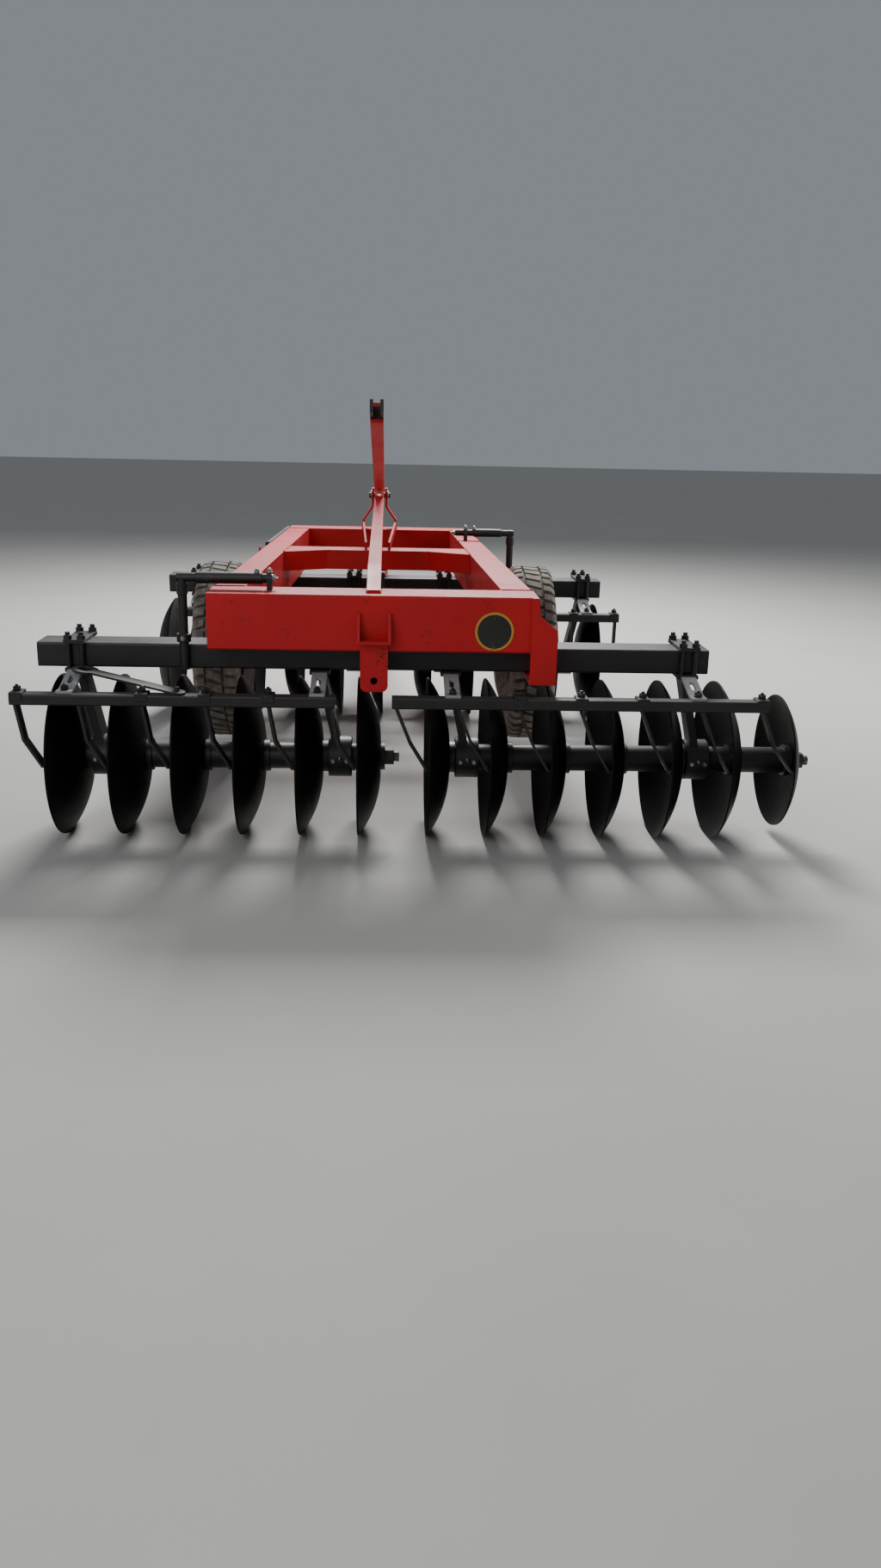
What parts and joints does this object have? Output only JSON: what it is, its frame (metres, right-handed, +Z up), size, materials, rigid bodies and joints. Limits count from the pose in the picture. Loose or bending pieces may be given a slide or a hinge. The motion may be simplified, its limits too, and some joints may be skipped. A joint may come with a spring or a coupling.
{
  "type": "offset disc harrow",
  "caption": "Trailed offset disc harrow: red frame, front and rear gang beams with dished discs and scrapers, lifting wheels and a drawbar.",
  "frame": {"origin": "on the ground, at the middle of the machine's plan", "axes": "+X to the machine's right, +Y to its front, +Z up"},
  "size_m": [2.967, 4.8594, 1.6246],
  "materials": {
    "red_enamel": "gloss",
    "black_enamel": "satin",
    "disc_steel": "satin",
    "grey_plate": "satin",
    "tyre_rubber": "matte",
    "chromed_rod": "polished"
  },
  "bodies": {
    "frame": {"rear_beam": "red_enamel", "left_side_beam": "red_enamel", "right_side_beam": "red_enamel", "front_crossbeam": "red_enamel", "middle_crossbeam": "red_enamel", "mast_plates": "red_enamel", "mast_pin": "black_enamel", "top_stay": "red_enamel", "stay_side_flats": "red_enamel", "rear_hitch": "red_enamel", "rear_pivot_bracket": "red_enamel", "front_pivot_bracket": "red_enamel", "rear_stop_bar": "black_enamel", "front_stop_bar": "black_enamel", "rock_shaft_blocks": "black_enamel", "cylinder_anchor": "black_enamel", "drawbar_lugs": "red_enamel"},
    "rear_gang_frame": {"rear_gang_beam": "black_enamel", "rear_hangers": "black_enamel", "rear_scraper_bars": "black_enamel", "rear_scrapers": "black_enamel", "rear_scraper_arms": "grey_plate", "rear_scraper_brace": "grey_plate"},
    "front_gang_frame": {"front_gang_beam": "black_enamel", "front_hangers": "black_enamel", "front_scraper_bars": "black_enamel", "front_scrapers": "black_enamel", "front_scraper_arms": "grey_plate"},
    "rear_left_gang": {"rear_left_discs": "disc_steel", "rear_left_gang_shaft": "black_enamel"},
    "rear_right_gang": {"rear_right_discs": "disc_steel", "rear_right_gang_shaft": "black_enamel"},
    "front_left_gang": {"front_left_discs": "disc_steel", "front_left_gang_shaft": "black_enamel"},
    "front_right_gang": {"front_right_discs": "disc_steel", "front_right_gang_shaft": "black_enamel"},
    "rock_shaft": {"rock_shaft": "black_enamel"},
    "left_wheel": {"left_rim": "black_enamel", "left_tyre": "tyre_rubber"},
    "right_wheel": {"right_rim": "black_enamel", "right_tyre": "tyre_rubber"},
    "lift_cylinder_barrel": {"lift_cylinder_barrel": "black_enamel"},
    "lift_cylinder_rod": {"lift_cylinder_rod": "chromed_rod"},
    "drawbar": {"drawbar": "red_enamel"},
    "top_link": {"top_link": "red_enamel"}
  },
  "joints": [
    {"name": "rear_gang_swing", "type": "hinge", "parent": "frame", "child": "rear_gang_frame", "pos_m": [0.4035, -2.12724, 0.655], "axis": [0, 0, -1], "range_deg": [0, 12]},
    {"name": "front_gang_swing", "type": "hinge", "parent": "frame", "child": "front_gang_frame", "pos_m": [-0.7095, -0.09724, 0.655], "axis": [0, 0, 1], "range_deg": [0, 12]},
    {"name": "rear_left_gang_spin", "type": "hinge", "parent": "rear_gang_frame", "child": "rear_left_gang", "pos_m": [-0.2095, -2.12724, 0.305], "axis": [1, 0, 0], "continuous": true},
    {"name": "rear_right_gang_spin", "type": "hinge", "parent": "rear_gang_frame", "child": "rear_right_gang", "pos_m": [-0.2095, -2.12724, 0.305], "axis": [1, 0, 0], "continuous": true},
    {"name": "front_left_gang_spin", "type": "hinge", "parent": "front_gang_frame", "child": "front_left_gang", "pos_m": [-0.2095, -0.09724, 0.305], "axis": [1, 0, 0], "continuous": true},
    {"name": "front_right_gang_spin", "type": "hinge", "parent": "front_gang_frame", "child": "front_right_gang", "pos_m": [-0.2095, -0.09724, 0.305], "axis": [1, 0, 0], "continuous": true},
    {"name": "rock_shaft_turn", "type": "hinge", "parent": "frame", "child": "rock_shaft", "pos_m": [-0.2095, -0.56224, 0.69], "axis": [1, 0, 0], "range_deg": [0, 30]},
    {"name": "left_wheel_spin", "type": "hinge", "parent": "rock_shaft", "child": "left_wheel", "pos_m": [-0.9005, -1.11224, 0.53], "axis": [1, 0, 0], "continuous": true},
    {"name": "right_wheel_spin", "type": "hinge", "parent": "rock_shaft", "child": "right_wheel", "pos_m": [0.4815, -1.11224, 0.53], "axis": [1, 0, 0], "continuous": true},
    {"name": "lift_cylinder_turn", "type": "hinge", "parent": "frame", "child": "lift_cylinder_barrel", "pos_m": [-0.2095, 0.32376, 0.8], "axis": [1, 0, 0], "range_deg": [-0.2, 0.2]},
    {"name": "lift_cylinder_stroke", "type": "slide", "parent": "lift_cylinder_barrel", "child": "lift_cylinder_rod", "axis": [0, -1, -0.0044], "range_m": [0, 0.05714]},
    {"name": "drawbar_lift", "type": "hinge", "parent": "frame", "child": "drawbar", "pos_m": [-0.2095, 0.63376, 0.8], "axis": [1, 0, 0], "range_deg": [0, 31.7]},
    {"name": "top_link_swing", "type": "hinge", "parent": "frame", "child": "top_link", "pos_m": [-0.2095, 0.47376, 1.135], "axis": [-1, 0, 0], "range_deg": [0, 160]}
  ],
  "couplings": [
    {"joint": "lift_cylinder_turn", "follows": "rock_shaft_turn", "ratio": -0.00052},
    {"joint": "lift_cylinder_stroke", "follows": "rock_shaft_turn", "m_per_rad": 0.10875}
  ]
}
